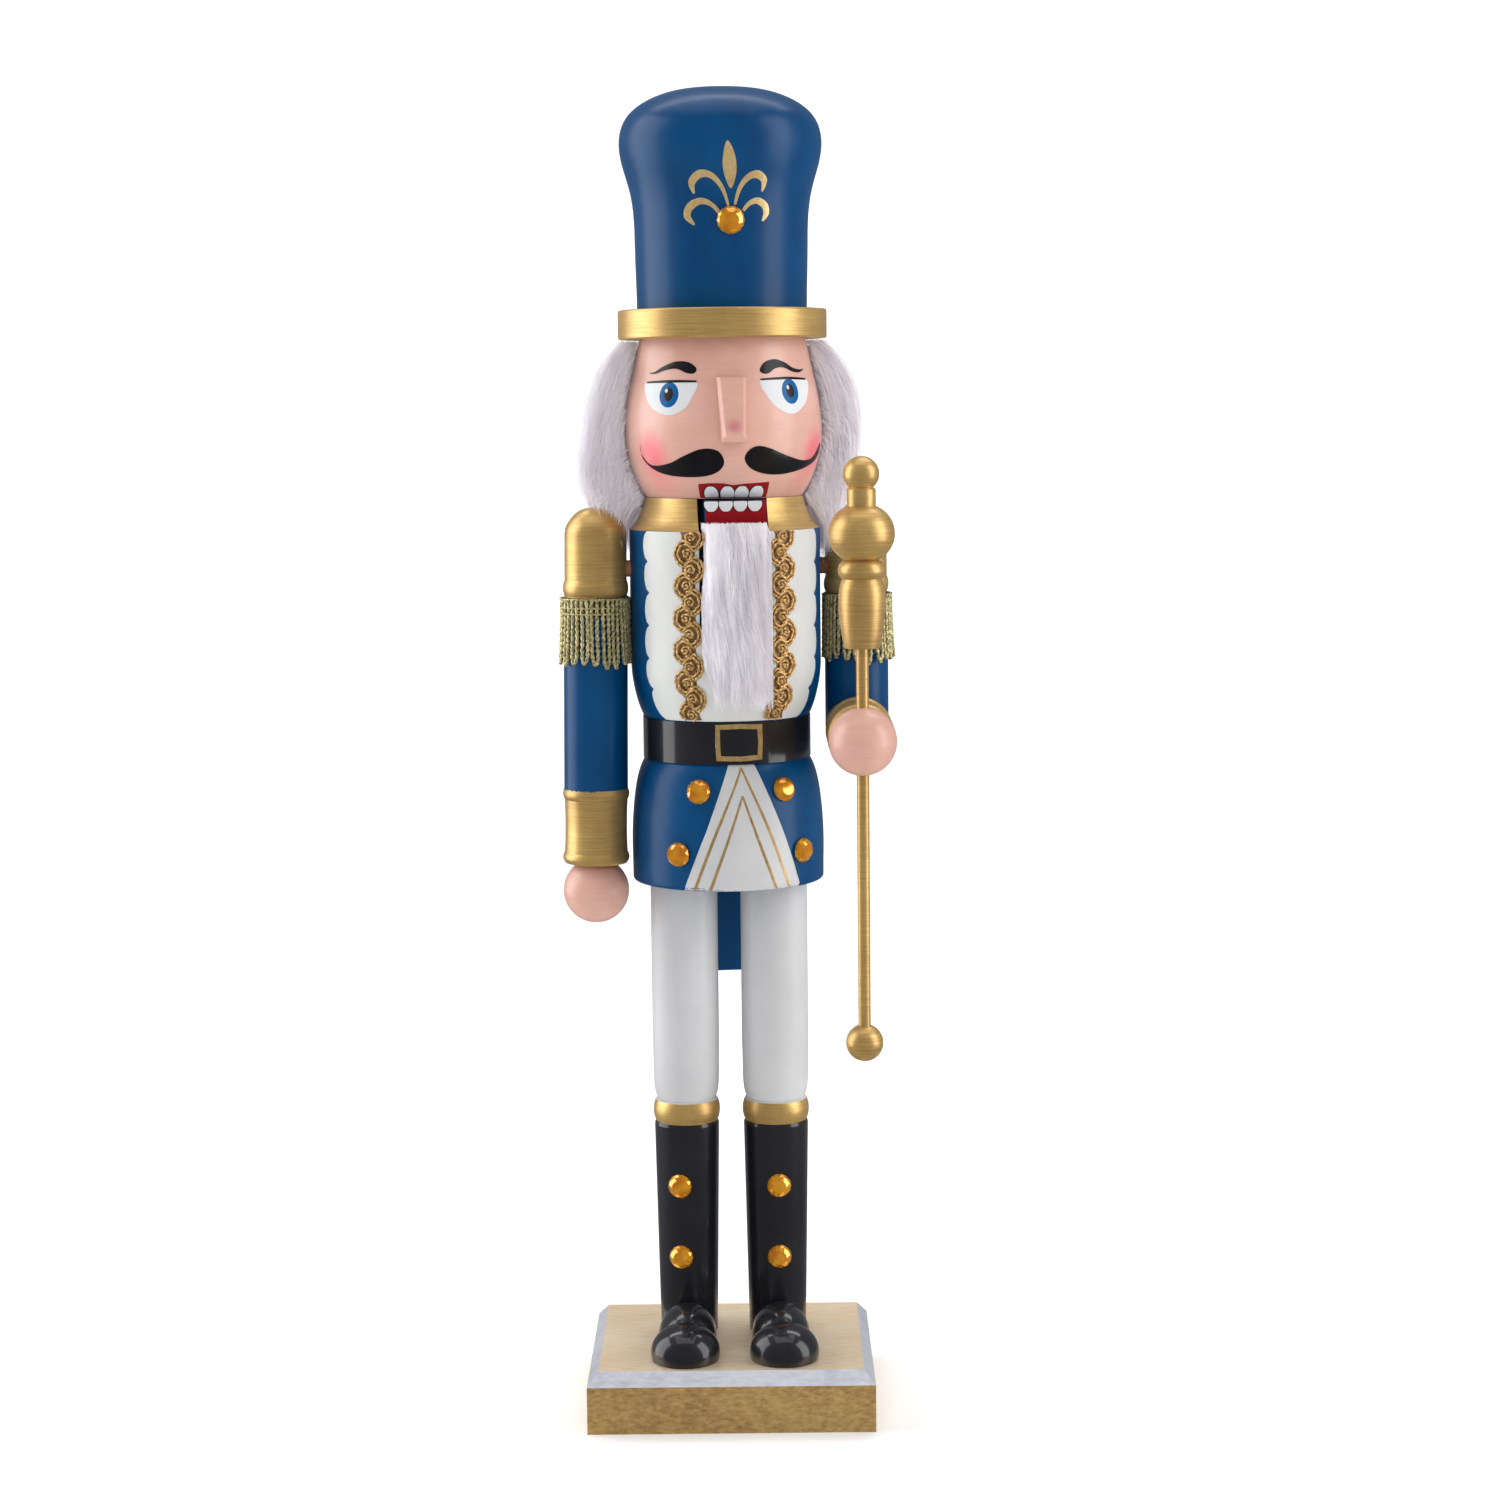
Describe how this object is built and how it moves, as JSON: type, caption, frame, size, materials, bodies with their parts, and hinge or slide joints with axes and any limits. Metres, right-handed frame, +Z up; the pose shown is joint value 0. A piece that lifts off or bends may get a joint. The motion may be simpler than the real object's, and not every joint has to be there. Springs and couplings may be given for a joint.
{
  "type": "nutcracker figure",
  "caption": "Painted wooden soldier nutcracker on a square base, with a hinged jaw worked by a lever at the back, turning arms, a tall hat and a staff.",
  "frame": {"origin": "centre of the base's underside", "axes": "+Z up through the figure; the figure faces -Y; its right hand is towards -X and the hand with the staff is towards +X"},
  "size_m": [0.0966, 0.091, 0.38],
  "materials": {
    "gold_paint": "gold paint on wood, satin",
    "blue_lacquer": "blue lacquer on wood, gloss",
    "skin_lacquer": "skin-coloured lacquer on wood, satin",
    "boot_lacquer": "black lacquer on wood, gloss",
    "leg_lacquer": "white lacquer with black boots and a gold garter, gloss",
    "base_paint": "gold and silver paint on wood, satin",
    "raw_wood": "bare dowel",
    "steel_pin": "drawn wire",
    "fur": "long white plush",
    "gimp": "metallic gold braid",
    "fringe": "metallic bullion fringe",
    "rhinestone": "faceted amber acrylic, foil back"
  },
  "bodies": {
    "figure": {"base_block": "base_paint", "right_foot": "boot_lacquer", "left_foot": "boot_lacquer", "right_leg": "leg_lacquer", "left_leg": "leg_lacquer", "right_ankle_dowel": "raw_wood", "left_ankle_dowel": "raw_wood", "right_hip_dowel": "raw_wood", "left_hip_dowel": "raw_wood", "torso": "blue_lacquer", "jaw_pin": "steel_pin", "right_braid": "gimp", "left_braid": "gimp", "head": "skin_lacquer", "nose": "skin_lacquer", "hair": "fur", "right_neck_dowel": "raw_wood", "left_neck_dowel": "raw_wood", "hat_brim": "gold_paint", "hat_crown": "blue_lacquer", "hat_dowel": "raw_wood", "hat_gem": "rhinestone", "jacket_gem_1": "rhinestone", "jacket_gem_2": "rhinestone", "jacket_gem_3": "rhinestone", "jacket_gem_4": "rhinestone", "boot_gem_1": "rhinestone", "boot_gem_2": "rhinestone", "boot_gem_3": "rhinestone", "boot_gem_4": "rhinestone"},
    "lever": {"jaw_lever": "blue_lacquer", "beard": "fur"},
    "right_arm_body": {"right_arm": "blue_lacquer", "right_hand": "skin_lacquer", "right_wrist_dowel": "raw_wood", "right_shoulder_dowel": "raw_wood", "right_fringe": "fringe"},
    "left_arm_body": {"left_upper_arm": "blue_lacquer", "left_forearm": "blue_lacquer", "left_elbow_dowel": "raw_wood", "left_hand": "skin_lacquer", "left_wrist_dowel": "raw_wood", "left_shoulder_dowel": "raw_wood", "left_fringe": "fringe", "staff_rod": "gold_paint", "staff_mace": "gold_paint", "staff_ball": "gold_paint"}
  },
  "joints": [
    {"name": "jaw_hinge", "type": "hinge", "parent": "figure", "child": "lever", "pos_m": [-0.00041, 0.01655, 0.2433], "axis": [0.9936, 0.1132, 0], "range_deg": [0, 20], "deforming": ["beard"]},
    {"name": "right_shoulder", "type": "hinge", "parent": "figure", "child": "right_arm_body", "pos_m": [-0.03676, 0.00436, 0.2441], "axis": [-0.9936, -0.1132, 0], "range_deg": [-20, 100]},
    {"name": "left_shoulder", "type": "hinge", "parent": "figure", "child": "left_arm_body", "pos_m": [0.03855, 0.01294, 0.2441], "axis": [-0.9936, -0.1132, 0], "range_deg": [-20, 35]}
  ]
}
